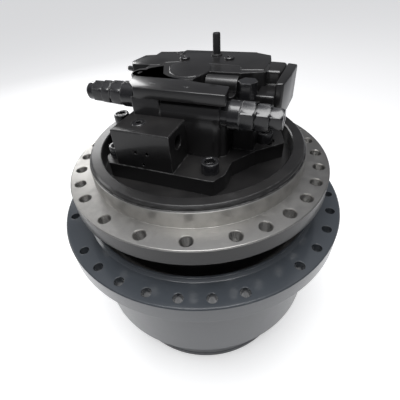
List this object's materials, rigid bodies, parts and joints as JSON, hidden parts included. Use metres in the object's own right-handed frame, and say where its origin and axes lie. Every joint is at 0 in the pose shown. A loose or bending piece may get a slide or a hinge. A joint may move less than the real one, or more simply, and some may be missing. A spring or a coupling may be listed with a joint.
{
  "type": "excavator final drive",
  "caption": "Travel final drive: flanged hub on a two stage planetary gear, round frame flange with spigot, and a hydraulic motor cover that carries valve blocks.",
  "frame": {"origin": "centre of the end cover's underside, on the rotation axis", "axes": "+Z along the rotation axis from the end cover to the motor; +X along the counterbalance valve's spool; -Y towards the port block"},
  "size_m": [0.574, 0.574, 0.6325],
  "materials": {
    "bearing_steel": "polished bearing steel",
    "black_paint": "satin black paint",
    "black_plastic": "moulded plastic",
    "bronze": "bearing bronze",
    "casing_steel": "bare turned steel",
    "dark_steel": "blackened steel",
    "friction_lining": "sintered lining",
    "gear_steel": "ground gear steel",
    "hub_paint": "gloss charcoal paint",
    "seal_rubber": "matt rubber",
    "zinc_screw": "black oxide"
  },
  "bodies": {
    "casing": {"main_casing": "casing_steel", "rear_cover": "black_paint", "rear_cover_screws": "zinc_screw", "top_cover": "black_paint", "top_plugs": "dark_steel", "valve_body": "black_paint", "relief_valve_left": "dark_steel", "relief_cap_left": "dark_steel", "relief_valve_right": "dark_steel", "relief_nut_right": "dark_steel", "relief_cap_right": "dark_steel", "port_plug": "dark_steel", "hex_plug": "dark_steel", "side_fitting": "dark_steel", "shipping_cap": "black_plastic", "servo_block": "black_paint", "servo_end_plate": "black_paint", "valve_plate": "bronze", "swash_plate": "gear_steel", "brake_spring": "gear_steel", "brake_plates": "gear_steel", "shaft_bearings": "bearing_steel", "bearing_nut": "gear_steel", "main_bearing_inner_rings": "bearing_steel", "main_bearing_rollers": "bearing_steel", "carrier_2": "gear_steel", "planet_pins_2": "gear_steel", "planet_bearings_2": "bearing_steel", "floating_seal_upper": "bearing_steel", "load_ring_upper": "seal_rubber", "spool_springs": "gear_steel"},
    "spool": {"counterbalance_spool": "gear_steel"},
    "brake_release": {"brake_piston": "gear_steel"},
    "hub": {"hub_housing": "hub_paint", "ring_gear_1": "gear_steel", "ring_gear_2": "gear_steel", "main_bearing_outer_rings": "bearing_steel", "end_cover": "hub_paint", "end_cover_screws": "zinc_screw", "end_cover_plugs": "dark_steel", "floating_seal_lower": "bearing_steel", "load_ring_lower": "seal_rubber"},
    "first_carrier": {"carrier_1": "gear_steel", "planet_pins_1": "gear_steel", "planet_bearings_1": "bearing_steel", "sun_gear_2": "gear_steel"},
    "motor_rotor": {"sun_gear_1": "gear_steel", "motor_shaft": "gear_steel", "cylinder_block": "gear_steel", "pistons": "bearing_steel", "slipper_shoes": "bronze", "retainer_plate": "gear_steel", "friction_discs": "friction_lining"},
    "planet_2a": {"planet_gear_2a": "gear_steel"},
    "planet_2b": {"planet_gear_2b": "gear_steel"},
    "planet_2c": {"planet_gear_2c": "gear_steel"},
    "planet_2d": {"planet_gear_2d": "gear_steel"},
    "planet_1a": {"planet_gear_1a": "gear_steel"},
    "planet_1b": {"planet_gear_1b": "gear_steel"},
    "planet_1c": {"planet_gear_1c": "gear_steel"}
  },
  "joints": [
    {"name": "hub_spin", "type": "hinge", "parent": "casing", "child": "hub", "pos_m": [0, 0, 0.2], "axis": [0, 0, 1], "continuous": true},
    {"name": "first_carrier_spin", "type": "hinge", "parent": "casing", "child": "first_carrier", "pos_m": [0, 0, 0.09], "axis": [0, 0, 1], "continuous": true},
    {"name": "motor_spin", "type": "hinge", "parent": "casing", "child": "motor_rotor", "pos_m": [0, 0, 0.3], "axis": [0, 0, 1], "continuous": true},
    {"name": "planet_2a_spin", "type": "hinge", "parent": "casing", "child": "planet_2a", "pos_m": [0.126, 0, 0.154], "axis": [0, 0, 1], "continuous": true},
    {"name": "planet_2b_spin", "type": "hinge", "parent": "casing", "child": "planet_2b", "pos_m": [0, 0.126, 0.154], "axis": [0, 0, 1], "continuous": true},
    {"name": "planet_2c_spin", "type": "hinge", "parent": "casing", "child": "planet_2c", "pos_m": [-0.126, 0, 0.154], "axis": [0, 0, 1], "continuous": true},
    {"name": "planet_2d_spin", "type": "hinge", "parent": "casing", "child": "planet_2d", "pos_m": [0, -0.126, 0.154], "axis": [0, 0, 1], "continuous": true},
    {"name": "planet_1a_spin", "type": "hinge", "parent": "first_carrier", "child": "planet_1a", "pos_m": [0.099, 0, 0.053], "axis": [0, 0, 1], "continuous": true},
    {"name": "planet_1b_spin", "type": "hinge", "parent": "first_carrier", "child": "planet_1b", "pos_m": [-0.0495, 0.08574, 0.053], "axis": [0, 0, 1], "continuous": true},
    {"name": "planet_1c_spin", "type": "hinge", "parent": "first_carrier", "child": "planet_1c", "pos_m": [-0.0495, -0.08574, 0.053], "axis": [0, 0, 1], "continuous": true},
    {"name": "spool_slide", "type": "slide", "parent": "casing", "child": "spool", "axis": [1, 0, 0], "range_m": [-0.006, 0.006], "deforming": ["spool_springs"]},
    {"name": "brake_release_slide", "type": "slide", "parent": "casing", "child": "brake_release", "axis": [0, 0, 1], "range_m": [0, 0.002], "deforming": ["brake_spring"]}
  ],
  "couplings": [
    {"joint": "first_carrier_spin", "follows": "hub_spin", "ratio": -3.8},
    {"joint": "motor_spin", "follows": "hub_spin", "ratio": -27.8},
    {"joint": "planet_2a_spin", "follows": "hub_spin", "ratio": 2.7143},
    {"joint": "planet_2b_spin", "follows": "hub_spin", "ratio": 2.7143},
    {"joint": "planet_2c_spin", "follows": "hub_spin", "ratio": 2.7143},
    {"joint": "planet_2d_spin", "follows": "hub_spin", "ratio": 2.7143},
    {"joint": "planet_1a_spin", "follows": "hub_spin", "ratio": 12},
    {"joint": "planet_1b_spin", "follows": "hub_spin", "ratio": 12},
    {"joint": "planet_1c_spin", "follows": "hub_spin", "ratio": 12}
  ]
}
